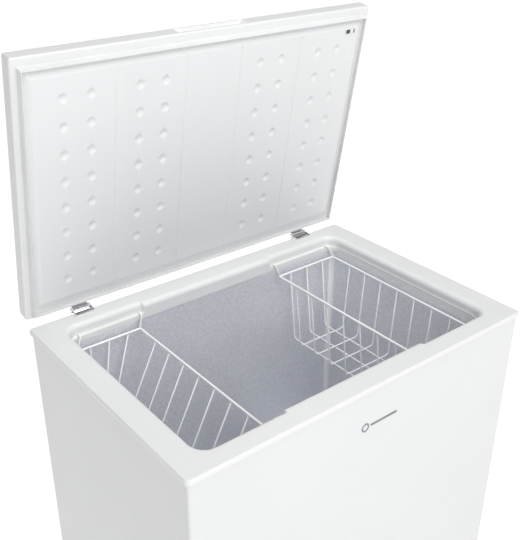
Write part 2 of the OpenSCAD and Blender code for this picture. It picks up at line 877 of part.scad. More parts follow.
// Plateau on the panel's underside, with four sloped sides
module plateau() {
    side = 11;
    front = 12;
    back = 21;
    flange = lid_z + sheet;
    x1 = panel_face_x + side;
    y0 = panel_face_front - front;
    y1 = panel_face_back + back;
    difference() {
        box(-x1, x1, y0, y1, panel_low, flange);
        for (s = [0, 1]) mirror([s, 0, 0]) translate([panel_face_x, 0, panel_low])
            rotate([0, -atan(panel_drop / side), 0]) translate([0, -400, -40]) cube([60, 800, 40]);
        translate([0, panel_face_back, panel_low]) rotate([atan(panel_drop / back), 0, 0])
            translate([-400, 0, -40]) cube([800, 60, 40]);
        translate([0, panel_face_front, panel_low]) rotate([-atan(panel_drop / front), 0, 0])
            translate([-400, -60, -40]) cube([800, 60, 40]);
    }
}

module dimples() {
    sphere_r = 13;
    depth = 3.3;
    for (x = dimple_x, s = [-1, 1], row = [0 : 7])
        translate([s * x, dimple_mid + (row - 3.5) * dimple_pitch, panel_low - sphere_r + depth])
            sphere(sphere_r);
}

module panel_pocket() {
    wall = 6;
    box(wall - panel_face_x, panel_face_x - wall, panel_face_front + wall, panel_face_back - wall,
        panel_low + 4, lid_z + 10);
}

module lid_panel() {
    color("white") opened() difference() {
        union() {
            lid_block(5, lid_z + sheet, lid_z + sheet + 2);
            plateau();
        }
        panel_pocket();
        dimples();
        for (x = groove_x) translate([x, 0, panel_low])
            box(-0.9, 0.9, panel_face_front - 1, panel_face_back + 1, -1, 0.9);
    }
}

module lid_foam() {
    color("khaki") opened() difference() {
        union() {
            lid_block(sheet, lid_z + sheet + 2, lid_z + lid_t - sheet);
            panel_pocket();
        }
        grip_pocket();
        leaf_screw_holes(2.1);
    }
}

// Magnetic seal between the lid's lip and the plateau
module lid_gasket() {
    mid = (lip_front - lip_back) / 2 + lid_mid;
    w = lid_w - 2 * lip_side - 3;
    d = lid_d - lip_front - lip_back - 3;
    color("whitesmoke") opened() translate([0, mid, 0]) {
        translate([0, 0, lid_z - 5]) ring(w, d, 6, gasket_w, 5 + sheet);
        translate([0, 0, collar_top + 0.1]) ring(w - 3, d - 3, 5, gasket_w - 3, lid_z - 5 - collar_top);
    }
}

// Moulded finger grip let into the lid's front edge
module handle_grip() {
    mid_z = grip_z + grip_h / 2;
    color("whitesmoke") opened() difference() {
        box(-grip_w / 2, grip_w / 2, lid_front, lid_front + grip_depth, grip_z, grip_z + grip_h);
        intersection() {
            rod_x(lid_front, mid_z - 1, -grip_w / 2, grip_w / 2, 8);
            box(-grip_w / 2 + 4, grip_w / 2 - 4, lid_front - 9, lid_front + 9, grip_z, grip_z + grip_h);
        }
    }
}

module lid_label() {
    color("dimgray") opened() box(label_x - 13, label_x + 13, label_y - 5.5, label_y + 5.5,
        panel_low - 0.3, panel_low);
}

// Blank ring and strip
module front_badge() {
    color("dimgray") translate([badge_x, front_y, collar_top - badge_drop]) rotate([90, 0, 0]) {
        translate([-34, 0, 0]) difference() {
            cylinder(h = 0.8, r = 9);
            translate([0, 0, -1]) cylinder(h = 3, r = 5.5);
        }
        translate([14, 0, 0]) plate(64, 5, 0.8, 2.4);
    }
}

// --- wire baskets ---

// rim and floor are the X limits at the top and bottom; ends_top and ends_low are where the long
// wires start and run; inner_side is 1 when the basket's inner side is towards -X
module basket(rim, floor, ends_top, ends_low, inner_side) {
    top = collar_top - rim_drop;
    low = collar_top - floor_drop;
    reach = top - rim_wire - side_wire / 2;
    for (i = [-3 : 3]) translate([0, i * long_pitch, 0]) rotate([90, 0, 0])
        bent_wire([[rim[0], reach], [floor[0], low], [floor[1], low], [rim[1], reach]], wire_bend, side_wire);
    for (i = [0 : len(ends_top) - 1])
        long_wire(ends_top[i], reach, ends_low[i], low - 2 * side_wire - seam);
    translate([(rim[0] + rim[1]) / 2, 0, top]) basket_rim(rim[1] - rim[0], 2 * basket_y);
    inner = inner_side > 0 ? rim[0] : rim[1];
    outer = inner_side > 0 ? rim[1] : rim[0];
    hook(inner, -inner_side * hook_lean, top);
    hook(outer, -inner_side * hook_tuck, top);
}

// One of the wires that run from front to back under the cross wires
module long_wire(x_top, z_top, x_low, z_low) {
    rise = norm([x_top - x_low, z_top - z_low]);
    leaning(x_low, z_low, x_top, z_top)
        bent_wire([[-basket_y, rise], [-floor_y, 0], [floor_y, 0], [basket_y, rise]], wire_bend, side_wire);
}

module basket_rim(w, d) {
    x = w / 2;
    y = d / 2;
    straight_x = x - rim_corner - seam;
    straight_y = y - rim_corner - seam;
    for (s = [0, 1]) mirror([s, 0, 0]) rod_y(x, 0, -straight_y, straight_y, rim_wire);
    for (s = [0, 1]) mirror([0, s, 0]) rod_x(y, 0, -straight_x, straight_x, rim_wire);
    for (a = [0, 1], b = [0, 1]) mirror([a, 0, 0]) mirror([0, b, 0])
        translate([x - rim_corner, y - rim_corner, 0])
            rotate_extrude(angle = 90) translate([rim_corner, 0]) circle(rim_wire, $fn = 24);
}

// Wire standing up from the rim at the front and back, turned out over the ledge
module hook(x, lean, rim_z) {
    start = rim_z + rim_wire + hook_wire / 2;
    rest = collar_top - ledge_drop + hook_wire + seam;
    rise = norm([lean, rest - start]);
    for (s = [0, 1]) mirror([0, s, 0]) leaning(x, start, x + lean, rest)
        bent_wire([[basket_y, 0], [basket_y + 4, rise], [hook_tip_y, rise]], hook_bend, hook_wire);
}

module basket_left() {
    color("white") basket([-334, -193], [-326, -272], [-306, -264, -221], [-315, -299, -283], -1);
}

module basket_right() {
    color("white") basket([173, 338], [193, 327], [207, 256, 305], [207, 256, 305], 1);
}

placed() outer_shell();
placed() back_panel();
placed() base_pan();
placed() collar();
placed() inner_liner();
placed() liner_corner_strips();
placed() cabinet_foam();
placed() evaporator_coil();
placed() condenser_coil();
placed() bay_lining();
placed() compressor_tray();
placed() compressor();
placed() compressor_grommets();
placed() compressor_bolts();
placed() start_relay();
placed() filter_drier();
placed() capillary_tube();
placed() suction_line();
placed() discharge_line();
placed() side_grille();
placed() rear_cover();
placed() rear_cover_screws();
placed() cord_gland();
placed() control_bezel();
placed() thermostat_body();
placed() thermostat_knob();
placed() power_lamp();
placed() alarm_lamp();
placed() drain_tube();
placed() drain_plug();
placed() drain_cap();
placed() feet();
placed() foot_screws();
placed() hinge_brackets();
placed() hinge_bracket_screws();
placed() hinge_pins();
placed() hinge_washers();
placed() front_badge();
placed() lid_shell();
placed() lid_foam();
placed() lid_panel();
placed() lid_gasket();
placed() handle_grip();
placed() lid_label();
placed() hinge_leaves();
placed() hinge_leaf_screws();
placed() basket_left();
placed() basket_right();
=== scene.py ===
"""A white chest freezer with its lid open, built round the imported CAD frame.

Lengths in this file are millimetres, but metres for the floor and the lamps. Points are measured from
the centre of the collar's top face: x to the right, y to the back, z up. Lid pieces are drawn with the
lid shut and then swung open.
"""
import json
import math

import bmesh
import bpy
from mathutils import Matrix, Vector


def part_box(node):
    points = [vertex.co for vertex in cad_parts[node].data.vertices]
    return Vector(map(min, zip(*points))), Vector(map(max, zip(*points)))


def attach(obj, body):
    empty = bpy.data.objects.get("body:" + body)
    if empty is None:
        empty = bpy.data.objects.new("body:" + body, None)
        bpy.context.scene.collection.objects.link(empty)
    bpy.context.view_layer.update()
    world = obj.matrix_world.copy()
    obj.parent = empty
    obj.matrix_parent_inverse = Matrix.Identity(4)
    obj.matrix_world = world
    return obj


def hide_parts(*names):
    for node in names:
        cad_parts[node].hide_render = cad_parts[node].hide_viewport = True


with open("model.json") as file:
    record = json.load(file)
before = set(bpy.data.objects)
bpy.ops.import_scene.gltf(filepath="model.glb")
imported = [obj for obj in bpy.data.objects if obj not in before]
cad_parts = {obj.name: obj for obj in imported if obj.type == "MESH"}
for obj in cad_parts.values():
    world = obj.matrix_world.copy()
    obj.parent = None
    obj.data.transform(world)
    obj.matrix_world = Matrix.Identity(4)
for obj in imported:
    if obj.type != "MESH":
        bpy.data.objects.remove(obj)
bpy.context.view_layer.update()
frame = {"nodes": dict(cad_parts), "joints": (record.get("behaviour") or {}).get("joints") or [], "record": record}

MM = 0.001
LINER_SHEET = 1  # thickness of the tank's sheet
collar_lo, collar_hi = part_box("collar")
MID_Y = (collar_lo.y + collar_hi.y) / 2
TOP = collar_hi.z
COLLAR_X = collar_hi.x / MM
COLLAR_Y = (collar_hi.y - MID_Y) / MM
shell_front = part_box("outer_shell")[0]
FRONT_Y = (shell_front.y - MID_Y) / MM
liner_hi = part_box("inner_liner")[1]
TANK_X = liner_hi.x / MM - LINER_SHEET
TANK_Y = (liner_hi.y - MID_Y) / MM - LINER_SHEET

lid_joint = next(j for j in frame["joints"] if j["name"] == "lid_hinge")
PIN = Vector(lid_joint["pos_m"])
OPEN = math.radians(lid_joint["range_deg"][0])
SWING = Matrix.Translation(PIN) @ Matrix.Rotation(OPEN, 4, "X") @ Matrix.Translation(-PIN)


def to_frame(point):
    """A point of this file, in metres in the frame."""
    x, y, z = point
    return Vector((x * MM, MID_Y + y * MM, TOP + z * MM))


def to_lid(point):
    """A point drawn on the shut lid, in metres, where the open lid holds it."""
    return SWING @ to_frame(point)


def shut_box(node):
    """A lid node's box as it is with the lid shut, in this file's millimetres."""
    back = SWING.inverted()
    points = [back @ v.co for v in frame["nodes"][node].data.vertices]
    lo = [min(p[i] for p in points) for i in range(3)]
    hi = [max(p[i] for p in points) for i in range(3)]
    origin = (0, MID_Y, TOP)
    return tuple([(end[i] - origin[i]) / MM for i in range(3)] for end in (lo, hi))


(LID_X0, LID_Y0, LID_Z0), (LID_X1, LID_Y1, LID_Z1) = shut_box("lid_shell")


# ---------------------------------------------------------------- materials

def new_material(name, colour, roughness, metallic=0.0, coat=0.0):
    """A principled material and its node tree's main parts."""
    mat = bpy.data.materials.new(name)
    mat.use_nodes = True
    shader = mat.node_tree.nodes["Principled BSDF"]
    shader.inputs["Base Color"].default_value = (*colour, 1)
    shader.inputs["Roughness"].default_value = roughness
    shader.inputs["Metallic"].default_value = metallic
    shader.inputs["Coat Weight"].default_value = coat
    return mat, mat.node_tree, shader


def object_space(tree, scale):
    """Object coordinates, scaled."""
    coords = tree.nodes.new("ShaderNodeTexCoord")
    mapping = tree.nodes.new("ShaderNodeMapping")
    mapping.inputs["Scale"].default_value = scale
    tree.links.new(coords.outputs["Object"], mapping.inputs["Vector"])
    return mapping.outputs["Vector"]


def noise(tree, scale, detail=3, stretch=(1, 1, 1), roughness=0.5):
    """A noise texture's value."""
    node = tree.nodes.new("ShaderNodeTexNoise")
    node.inputs["Scale"].default_value = scale
    node.inputs["Detail"].default_value = detail
    node.inputs["Roughness"].default_value = roughness
    tree.links.new(object_space(tree, stretch), node.inputs["Vector"])
    return node.outputs["Fac"]


def ranged(tree, value, low, high, from_low=0.3, from_high=0.7):
    """A value spread over a new range."""
    node = tree.nodes.new("ShaderNodeMapRange")
    node.inputs["From Min"].default_value = from_low
    node.inputs["From Max"].default_value = from_high
    node.inputs["To Min"].default_value = low
    node.inputs["To Max"].default_value = high
    tree.links.new(value, node.inputs["Value"])
    return node.outputs["Result"]


def two_colours(tree, value, low, high):
    """A colour between two, by a value from 0 to 1."""
    node = tree.nodes.new("ShaderNodeMix")
    node.data_type = "RGBA"
    node.inputs["A"].default_value = (*low, 1)
    node.inputs["B"].default_value = (*high, 1)
    tree.links.new(value, node.inputs["Factor"])
    return node.outputs["Result"]


def bumped(tree, shader, height, strength, distance):
    """Bump from a height, added to any bump the shader already has."""
    node = tree.nodes.new("ShaderNodeBump")
    node.inputs["Strength"].default_value = strength
    node.inputs["Distance"].default_value = distance
    tree.links.new(height, node.inputs["Height"])
    before = shader.inputs["Normal"].links
    if before:
        tree.links.new(before[0].from_socket, node.inputs["Normal"])
    tree.links.new(node.outputs["Normal"], shader.inputs["Normal"])


def varied_colour(tree, shader, scale, low, high, stretch=(1, 1, 1)):
    """Slow drift of the base colour."""
    value = ranged(tree, noise(tree, scale, 4, stretch), 0, 1)
    tree.links.new(two_colours(tree, value, low, high), shader.inputs["Base Color"])


def shades(colour, by):
    """A colour and the same colour darkened by a share."""
    return colour, tuple(c * (1 - by) for c in colour)


def crystals(tree, scale):
    """A cell pattern: its node and a random grey for each cell."""
    cells = tree.nodes.new("ShaderNodeTexVoronoi")
    cells.inputs["Scale"].default_value = scale
    tree.links.new(object_space(tree, (1, 1, 1)), cells.inputs["Vector"])
    grey = tree.nodes.new("ShaderNodeRGBToBW")
    tree.links.new(cells.outputs["Color"], grey.inputs["Color"])
    return cells, grey.outputs["Val"]


def coated_steel(name, colour, roughness=0.3, peel=0.002):
    """Powder-coated or painted sheet with faint orange peel."""
    mat, tree, shader = new_material(name, colour, roughness)
    varied_colour(tree, shader, 5, *shades(colour, 0.02))
    rough = ranged(tree, noise(tree, 12, 2), roughness, roughness + 0.07)
    tree.links.new(rough, shader.inputs["Roughness"])
    bumped(tree, shader, noise(tree, 150, 1), 0.2, peel * MM)
    return mat


def moulded_plastic(name, colour, roughness=0.32, grain=0.003, grain_scale=300):
    """Injection-moulded or vacuum-formed plastic with a fine grain and slow flow marks."""
    mat, tree, shader = new_material(name, colour, roughness)
    shader.inputs["IOR"].default_value = 1.5
    varied_colour(tree, shader, 4, *shades(colour, 0.02))
    rough = ranged(tree, noise(tree, 16, 4), roughness, roughness + 0.1)
    tree.links.new(rough, shader.inputs["Roughness"])
    bumped(tree, shader, noise(tree, grain_scale, 2), 0.3, grain * MM)
    bumped(tree, shader, noise(tree, 9, 1), 0.15, 0.2 * MM)
    return mat


def stucco_aluminium(name, colour):
    """Embossed aluminium sheet: small random pillows over a softly streaked metal."""
    mat, tree, shader = new_material(name, colour, 0.3, metallic=0.42)
    cells, grey = crystals(tree, 400)
    bumped(tree, shader, cells.outputs["Distance"], 0.7, 0.5 * MM)
    bumped(tree, shader, noise(tree, 3.2, 2, (1, 1, 0.4)), 0.4, 5 * MM)
    streak = ranged(tree, noise(tree, 9, 5, (1, 1, 0.12)), 0.285, 0.36)
    tree.links.new(streak, shader.inputs["Roughness"])
    light, dark = shades(colour, 0.14)
    shade = ranged(tree, grey, 0, 1, 0.25, 0.75)
    tree.links.new(two_colours(tree, shade, dark, light), shader.inputs["Base Color"])
    return mat


def plain_metal(name, colour, roughness, stretch=(1, 1, 1), scale=120):
    """Rolled, plated or machined metal with fine lines along one way."""
    mat, tree, shader = new_material(name, colour, roughness, metallic=1.0)
    varied_colour(tree, shader, 30, *shades(colour, 0.12), stretch)
    rough = ranged(tree, noise(tree, scale, 4, stretch), roughness, roughness * 1.5)
    tree.links.new(rough, shader.inputs["Roughness"])
    bumped(tree, shader, noise(tree, scale * 4, 2, stretch), 0.2, 0.02 * MM)
    return mat


def spangled_zinc(name, colour):
    """Hot-dip galvanised sheet with its crystal pattern."""
    mat, tree, shader = new_material(name, colour, 0.4, metallic=1.0)
    _, grey = crystals(tree, 90)
    light, dark = shades(colour, 0.22)
    tree.links.new(two_colours(tree, grey, dark, light), shader.inputs["Base Color"])
    tree.links.new(ranged(tree, grey, 0.32, 0.52, 0, 1), shader.inputs["Roughness"])
    return mat


def soft_rubber(name, colour, roughness=0.6):
    """Rubber or soft PVC with a fine matte grain."""
    mat, tree, shader = new_material(name, colour, roughness)
    shader.inputs["Specular IOR Level"].default_value = 0.35
    varied_colour(tree, shader, 18, *shades(colour, 0.06))
    bumped(tree, shader, noise(tree, 1500, 2), 0.3, 0.03 * MM)
    return mat


def rigid_foam(name, colour):
    """Sprayed polyurethane foam with visible cells."""
    mat, tree, shader = new_material(name, colour, 0.9)
    varied_colour(tree, shader, 40, *shades(colour, 0.15))
    bumped(tree, shader, noise(tree, 500, 4), 0.8, 0.5 * MM)
    return mat


def lamp_lens(name, colour):
    """Tinted clear plastic lens."""
    mat, tree, shader = new_material(name, colour, 0.12)
    shader.inputs["Transmission Weight"].default_value = 0.35
    varied_colour(tree, shader, 200, *shades(colour, 0.2))
    return mat


slot_materials = {
    "shell_white": coated_steel("shell_white_paint", (0.75, 0.755, 0.76)),
    "back_white": coated_steel("back_white_paint", (0.7, 0.705, 0.71), 0.38),
    "galvanised": spangled_zinc("galvanised_sheet", (0.6, 0.62, 0.64)),
    "collar_white": moulded_plastic("collar_white_plastic", (0.805, 0.81, 0.81), 0.36),
    "liner_aluminium": stucco_aluminium("stucco_aluminium", (0.89, 0.905, 0.945)),
    # Partly painted highlight: the corner strips are a real part, but their near-white, non-metal colour, brighter
    # than the tank's aluminium, stands in for the highlight along the tank's corners.
    "strip_aluminium": moulded_plastic("strip_aluminium", (0.93, 0.94, 0.95), 0.29),
    "foam": rigid_foam("rigid_foam", (0.86, 0.74, 0.42)),
    "copper": plain_metal("copper_tube", (0.72, 0.35, 0.2), 0.3),
    "compressor_black": coated_steel("compressor_black_paint", (0.015, 0.015, 0.016), 0.3),
    "dark_rubber": soft_rubber("dark_rubber", (0.025, 0.025, 0.025)),
    "zinc": plain_metal("zinc_plate", (0.62, 0.61, 0.58), 0.35),
    "relay_black": moulded_plastic("relay_black_plastic", (0.02, 0.02, 0.02), 0.5),
    "grille_white": moulded_plastic("grille_white_plastic", (0.78, 0.78, 0.78), 0.42),
    "thermostat_grey": moulded_plastic("thermostat_grey_plastic", (0.2, 0.2, 0.21), 0.5),
    "knob_white": moulded_plastic("knob_white_plastic", (0.82, 0.82, 0.82), 0.3),
    "lamp_green": lamp_lens("lamp_green_lens", (0.02, 0.45, 0.08)),
    "lamp_red": lamp_lens("lamp_red_lens", (0.6, 0.02, 0.02)),
    "drain_grey": moulded_plastic("drain_grey_plastic", (0.6, 0.6, 0.61), 0.4),
    "hinge_chrome": plain_metal("hinge_chrome", (0.9, 0.9, 0.91), 0.13, scale=60),
    "washer_nylon": moulded_plastic("washer_black_nylon", (0.03, 0.03, 0.03), 0.5),
    "badge_grey": plain_metal("badge_grey_metal", (0.32, 0.33, 0.35), 0.4, (0.1, 1, 1)),
    "label_grey": moulded_plastic("label_grey_film", (0.05, 0.05, 0.05), 0.45),
    "panel_white": moulded_plastic("panel_white_plastic", (0.765, 0.77, 0.775), 0.34),
    "gasket_white": soft_rubber("gasket_white_pvc", (0.72, 0.725, 0.73)),
    "grip_white": moulded_plastic("grip_white_plastic", (0.83, 0.835, 0.84), 0.34),
    "wire_white": coated_steel("wire_white_coating", (0.93, 0.93, 0.93), 0.3, 0.03),
}
slot_of = {s["node"]: s["material_slot"] for s in frame["record"]["subparts"]}
for node, obj in frame["nodes"].items():
    obj.data.materials.clear()
    obj.data.materials.append(slot_materials[slot_of[node]])


# ---------------------------------------------------------------- mesh helpers

MERGE = 0.00001  # metres within which points count as one


def rect_loop(x0, x1, y0, y1, r, z, steps=8):
    """Points round a rounded rectangle, anticlockwise from its right side."""
    corners = ((x1 - r, y1 - r, 0), (x0 + r, y1 - r, 90), (x0 + r, y0 + r, 180), (x1 - r, y0 + r, 270))
    loop = []
    for cx, cy, start in corners:
        for i in range(steps + 1):
            a = math.radians(start + 90 * i / steps)
            loop.append((cx + r * math.cos(a), cy + r * math.sin(a), z))
    return loop


def arc(cu, cv, r, start, end, steps):
    """Points of an arc in a section, degrees."""
    turns = [math.radians(start + (end - start) * i / steps) for i in range(steps + 1)]
    return [(cu + r * math.cos(a), cv + r * math.sin(a)) for a in turns]


def loft(loops, cap_start=False, cap_end=False, wrap=False):
    """Vertices and faces that join loops of equal length."""
    n = len(loops[0])
    verts = [p for loop in loops for p in loop]
    faces = []
    for i in range(len(loops) if wrap else len(loops) - 1):
        j = (i + 1) % len(loops)
        for k in range(n):
            m = (k + 1) % n
            faces.append((i * n + k, i * n + m, j * n + m, j * n + k))
    if cap_start:
        faces.append(tuple(reversed(range(n))))
    if cap_end:
        faces.append(tuple((len(loops) - 1) * n + k for k in range(n)))
    return verts, faces


def make_mesh(name, verts, faces, place=to_frame, smooth=35):
    """An object from points of this file, shaded smooth except over sharp edges."""
    mesh = bpy.data.meshes.new(name)
    mesh.from_pydata([place(v) for v in verts], [], faces)
    obj = bpy.data.objects.new(name, mesh)
    bpy.context.scene.collection.objects.link(obj)
    tidy_mesh(mesh, smooth)
    return obj


def tidy_mesh(mesh, smooth):
    """Faces outward, doubles merged, sharp edges marked by angle."""
    bm = bmesh.new()
    bm.from_mesh(mesh)
    bmesh.ops.remove_doubles(bm, verts=bm.verts, dist=MERGE)
    bmesh.ops.recalc_face_normals(bm, faces=bm.faces)
    bm.to_mesh(mesh)
    bm.free()
    mesh.shade_smooth()
    mesh.set_sharp_from_angle(angle=math.radians(smooth))


def finish_piece(obj, body, slot, *nodes):
    """Gives a piece its material, its body and the CAD nodes it stands for."""
    obj.data.materials.clear()
    obj.data.materials.append(slot_materials[slot])
    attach(obj, body)
    if nodes:
        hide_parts(*nodes)
    return obj


def flat_normals(obj):
    """Weights normals by face area, so flats stay flat beside small fillets."""
    modifier = obj.modifiers.new("weighted", "WEIGHTED_NORMAL")
    modifier.keep_sharp = True
    modifier.weight = 80


def apply_modifiers(obj):
    """Keeps the shape the modifiers give and drops them."""
    graph = bpy.context.evaluated_depsgraph_get()
    mesh = bpy.data.meshes.new_from_object(obj.evaluated_get(graph))
    obj.modifiers.clear()
    obj.data = mesh


def cut_out(obj, cutter):
    """Takes one closed mesh from another."""
    modifier = obj.modifiers.new("cut", "BOOLEAN")
    modifier.operation = "DIFFERENCE"
    modifier.solver = "EXACT"
    modifier.object = cutter
    apply_modifiers(obj)
    bpy.data.objects.remove(cutter)


def rounded_path(points, bend, steps=6):
    """A path whose inner corners are arcs."""
    out = [points[0]]
    for before, corner, after in zip(points, points[1:], points[2:]):
        a = (before - corner).normalized()
        b = (after - corner).normalized()
        half = a.angle(b) / 2
        trim = bend / math.tan(half)
        centre = corner + (a + b).normalized() * (bend / math.sin(half))
        start = corner + a * trim - centre
        end = corner + b * trim - centre
        turn = start.angle(end)
        for i in range(steps + 1):
            t = i / steps
            w0 = math.sin((1 - t) * turn) / math.sin(turn)
            w1 = math.sin(t * turn) / math.sin(turn)
            out.append(centre + start * w0 + end * w1)
    out.append(points[-1])
    return out


def tube(path, r, closed=False, sides=12):
    """Vertices and faces of a round wire along a path, with domed ends."""
    dome_out, dome_r = r * 0.5, r * 0.7
    spokes = [2 * math.pi * k / sides for k in range(sides)]

    def ring(p, s, u, radius):
        return [tuple(p + (s * math.cos(a) + u * math.sin(a)) * radius) for a in spokes]

    n = len(path)
    rings = []
    side = None
    for i, p in enumerate(path):
        ahead = path[(i + 1) % n] if closed or i < n - 1 else p
        behind = path[i - 1] if closed or i > 0 else p
        along = (ahead - behind).normalized()
        if side is None:
            side = along.orthogonal().normalized()
        side = (side - along * side.dot(along)).normalized()
        up = along.cross(side)
        rings.append((p, side.copy(), up, along))
    loops = [ring(p, s, u, r) for p, s, u, along in rings]
    if closed:
        return loft(loops, wrap=True)
    p, s, u, along = rings[0]
    first = ring(p - along * dome_out, s, u, dome_r)
    p, s, u, along = rings[-1]
    last = ring(p + along * dome_out, s, u, dome_r)
    return loft([first] + loops + [last], True, True)


def joined(parts):
    """Several vertex and face lists as one."""
    verts, faces = [], []
    for v, f in parts:
        base = len(verts)
        verts += v
        faces += [tuple(i + base for i in face) for face in f]
    return verts, faces


# ---------------------------------------------------------------- collar

OVERHANG = 1  # how far the opening stands in past the tank's wall
OPENING_X = TANK_X - OVERHANG
OPENING_Y = TANK_Y - OVERHANG
OPENING_R = 26  # corner radius of the opening
EDGE_R = 11  # radius of the opening's top edge
SKIRT = 33  # depth of the wall below the top face
SKIRT_SECTION = [(0, -28), (0, -SKIRT), (3, -SKIRT)]
LEDGE = 22  # depth of the hook ledge below the top face
LEDGE_R = 1.2
LEDGE_IN = 7  # how far the wall above a ledge stands back, front and back
LEDGE_SIDE = 0.4  # the same at the sides
LEDGE_RIGHT = 158  # x where the right ledge starts
LEDGE_LEFT = -179  # x where the left ledge starts
LEDGE_BLEND = 5  # length over which a ledge fades out


def plain_section():
    """Section of the opening's edge away from the hook ledges: out from the wall, height."""
    first, pitch = -12, 1.5
    wall = [(0, first - pitch * i) for i in range(9)]
    return arc(EDGE_R, -EDGE_R, EDGE_R, 90, 180, 12) + wall + SKIRT_SECTION


def ledge_section(step):
    """Section where the baskets' hooks hang: a wall, a ledge and the wall below it."""
    upper = arc(step + EDGE_R, -EDGE_R, EDGE_R, 90, 180, 12)
    hollow = arc(step - LEDGE_R, -LEDGE + LEDGE_R, LEDGE_R, 0, -90, 3)
    nose = arc(LEDGE_R, -LEDGE - LEDGE_R, LEDGE_R, 90, 180, 4)
    return upper + hollow + nose + SKIRT_SECTION


def smooth_step(low, high, value):
    """0 below low, 1 above high, eased between."""
    t = min(max((value - low) / (high - low), 0), 1)
    return t * t * (3 - 2 * t)


def ledge_amount(x):
    """How far the ledge section holds at a place along the front or back edge."""
    right = smooth_step(LEDGE_RIGHT - LEDGE_BLEND, LEDGE_RIGHT, x)
    left = smooth_step(-LEDGE_LEFT - LEDGE_BLEND, -LEDGE_LEFT, -x)
    return max(right, left)


def opening_path():
    """Points on the opening's wall with their outward direction and step depth."""
    sx, sy = OPENING_X - OPENING_R, OPENING_Y - OPENING_R
    near = [i * LEDGE_BLEND / 6 for i in range(-1, 8)]
    xs = [sx, 240]
    xs += [LEDGE_RIGHT - d for d in near]
    xs += [60, -60]
    xs += [LEDGE_LEFT + d for d in reversed(near)]
    xs += [-250, -sx]
    path = []

    def corner(cx, cy, start):
        for i in range(1, 12):
            a = math.radians(start + 90 * i / 12)
            nx, ny = math.cos(a), math.sin(a)
            step = LEDGE_SIDE * nx * nx + LEDGE_IN * ny * ny
            path.append((cx + OPENING_R * nx, cy + OPENING_R * ny, nx, ny, step))

    for t in (-1, -0.5, 0, 0.5, 1):
        path.append((OPENING_X, sy * t, 1, 0, LEDGE_SIDE))
    corner(sx, sy, 0)
    path += [(x, OPENING_Y, 0, 1, LEDGE_IN) for x in xs]
    corner(-sx, sy, 90)
    for t in (1, 0.5, 0, -0.5, -1):
        path.append((-OPENING_X, sy * t, -1, 0, LEDGE_SIDE))
    corner(-sx, -sy, 180)
    path += [(x, -OPENING_Y, 0, -1, LEDGE_IN) for x in reversed(xs)]
    corner(sx, -sy, 270)
    return path


def opening_loops():
    """The opening's edge as loops from its flat top down to its skirt."""
    loops = [[] for _ in plain_section()]
    for x, y, nx, ny, step in opening_path():
        amount = 1 if abs(ny) < 0.999 else ledge_amount(x)
        pairs = zip(plain_section(), ledge_section(step))
        for i, ((u0, z0), (u1, z1)) in enumerate(pairs):
            u = u0 + (u1 - u0) * amount
            z = z0 + (z1 - z0) * amount
            loops[i].append((x + nx * u, y + ny * u, z))
    return loops


def make_collar():
    """The white moulded frame round the mouth."""
    lip, edge, foot = 10, 3.5, 0.8
    outline = [(4, -lip), (foot, -lip)]
    outline += arc(foot, -lip + foot, foot, 270, 180, 3)
    outline += arc(edge, -edge, edge, 180, 90, 8)
    corner = 8.5
    outer = [rect_loop(-COLLAR_X + d, COLLAR_X - d, -COLLAR_Y + d, COLLAR_Y - d, corner - d * 0.9, z, 10)
             for d, z in outline]
    inner = opening_loops()
    verts, faces = joined([loft(outer), loft(inner)])
    obj = make_mesh("collar_frame", verts, faces)
    bm = bmesh.new()
    bm.from_mesh(obj.data)
    rims = [e for e in bm.edges if e.is_boundary and all(abs(v.co.z - TOP) < MERGE for v in e.verts)]
    bmesh.ops.triangle_fill(bm, edges=rims, use_beauty=True)
    bmesh.ops.recalc_face_normals(bm, faces=bm.faces)
    bm.to_mesh(obj.data)
    bm.free()
    obj.data.shade_smooth()
    obj.data.set_sharp_from_angle(angle=math.radians(40))
    flat_normals(obj)
    finish_piece(obj, "cabinet", "collar_white", "collar")


make_collar()


# ---------------------------------------------------------------- lid

LIP_SIDE = 11  # widths of the lip at the sides, front and back
LIP_FRONT = 16
LIP_BACK = 6
LIP_EASE = 0.8  # bevel on the lip's inner edge
SEAT_Z = LID_Z0 + LIP_EASE  # height at which the panel and the seal meet the lid
PANEL_DROP = 10  # how far the panel's plateau stands down
FACE_X = 365  # edges of the plateau
FACE_Y0 = LID_Y1 - 487
FACE_Y1 = LID_Y1 - 37
GRIP_X = 78  # half width of the grip
GRIP_H = 19
GRIP_Z = LID_Z0 + 6
GRIP_DEPTH = 12
GRIP_CORNER = 3


def mouth(clear, z, r=3):
    """Loop round the inside of the lid's lip."""
    return rect_loop(LID_X0 + LIP_SIDE + clear, LID_X1 - LIP_SIDE - clear,
                     LID_Y0 + LIP_FRONT + clear, LID_Y1 - LIP_BACK - clear, r, z)


def grip_loop(x, squeeze, y, steps=8):
    """Upright loop round the grip's mouth, made lower by a squeeze at its top and bottom."""
    loop = rect_loop(-x, x, GRIP_Z + squeeze, GRIP_Z + GRIP_H - squeeze, GRIP_CORNER, y, steps)
    return [(px, d, pz) for px, pz, d in loop]


